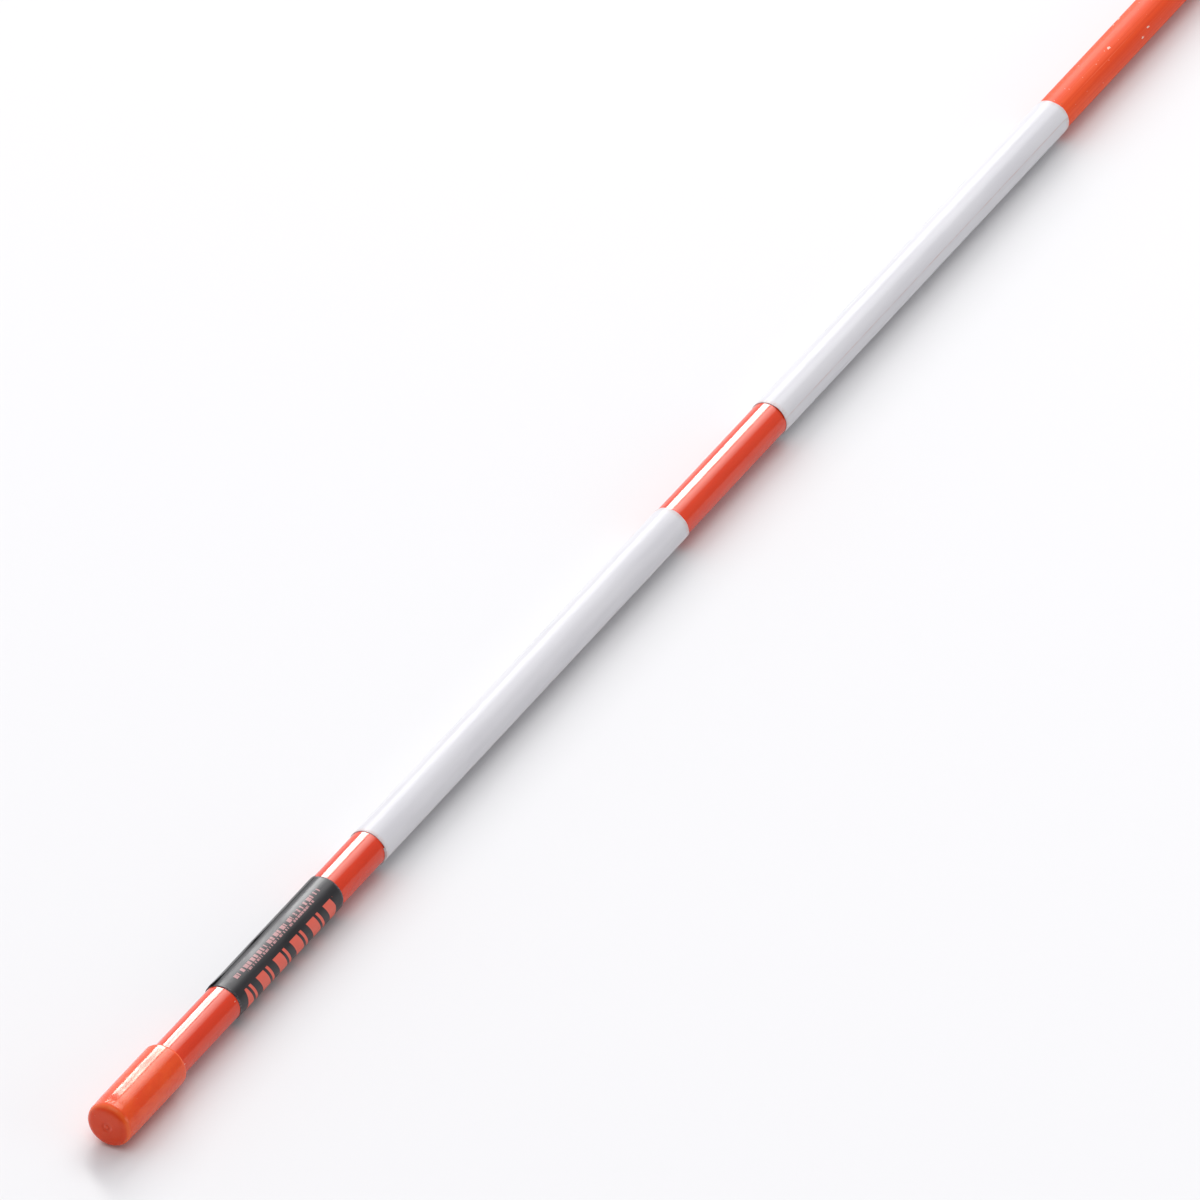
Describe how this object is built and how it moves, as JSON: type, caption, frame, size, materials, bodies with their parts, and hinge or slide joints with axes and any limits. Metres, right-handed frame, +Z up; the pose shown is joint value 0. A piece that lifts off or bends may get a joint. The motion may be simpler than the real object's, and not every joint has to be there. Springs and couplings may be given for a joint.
{
  "type": "driveway snow marker",
  "caption": "Fibreglass driveway marker rod with a ground point, white reflective bands over an orange film, a wrapped label and a soft pull-off end cap, lying on its side.",
  "frame": {"origin": "on the surface that the marker lies on, under the middle of its length", "axes": "+X along the rod, from the capped top end towards the ground point; +Z up from the surface that it lies on"},
  "size_m": [1.2216, 0.01, 0.01],
  "materials": {
    "orange_fiberglass": "satin pultruded fibreglass with fine lengthwise fibres",
    "orange_gloss_film": "glossy shrink film",
    "white_reflective_tape": "satin beaded reflective sheeting",
    "black_label_vinyl": "satin printed vinyl",
    "orange_cap_vinyl": "semi-gloss soft vinyl"
  },
  "bodies": {
    "marker": {"fiberglass_rod": "orange_fiberglass", "orange_film": "orange_gloss_film", "upper_reflective_tape": "white_reflective_tape", "lower_reflective_tape": "white_reflective_tape", "wrap_label": "black_label_vinyl"},
    "cap": {"end_cap": "orange_cap_vinyl"}
  },
  "joints": [
    {"name": "cap_pull", "type": "slide", "parent": "marker", "child": "cap", "axis": [-1, 0, 0], "range_m": [0, 0.03]}
  ]
}
